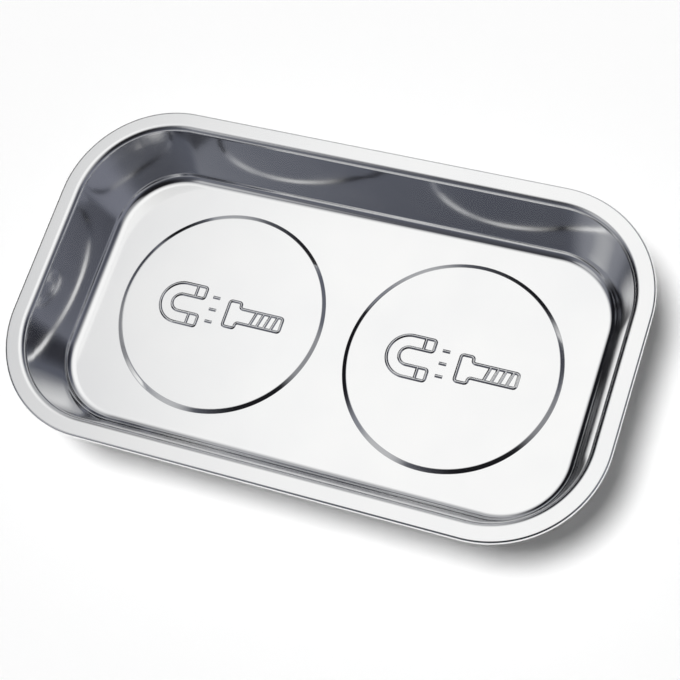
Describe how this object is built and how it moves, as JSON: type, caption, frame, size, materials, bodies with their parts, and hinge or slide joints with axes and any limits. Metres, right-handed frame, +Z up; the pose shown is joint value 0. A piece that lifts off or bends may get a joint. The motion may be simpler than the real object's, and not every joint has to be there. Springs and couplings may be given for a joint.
{
  "type": "magnetic parts tray",
  "caption": "Shallow rectangular steel tray with a rolled rim, raised round discs in its floor and rubber-booted ring magnets under them that hold screws in it and it to steel.",
  "frame": {"origin": "centre of the standing surface, on the plane that the undersides of the two rubber feet rest on", "axes": "+X along the tray's length towards the right foot, +Y across it towards the back wall, +Z up out of the tray's mouth"},
  "size_m": [0.24, 0.14, 0.0405],
  "materials": {
    "polished_steel": "polished",
    "plain_steel": "satin",
    "zinc_plate": "satin",
    "ferrite": "matte",
    "black_rubber": "matte"
  },
  "bodies": {
    "root": {"tray_pan": "polished_steel", "left_weld_nut": "plain_steel", "left_ring_magnet": "ferrite", "left_pole_plate": "zinc_plate", "left_rubber_boot": "black_rubber", "left_washer": "zinc_plate", "left_screw": "zinc_plate", "right_weld_nut": "plain_steel", "right_ring_magnet": "ferrite", "right_pole_plate": "zinc_plate", "right_rubber_boot": "black_rubber", "right_washer": "zinc_plate", "right_screw": "zinc_plate"}
  },
  "joints": []
}
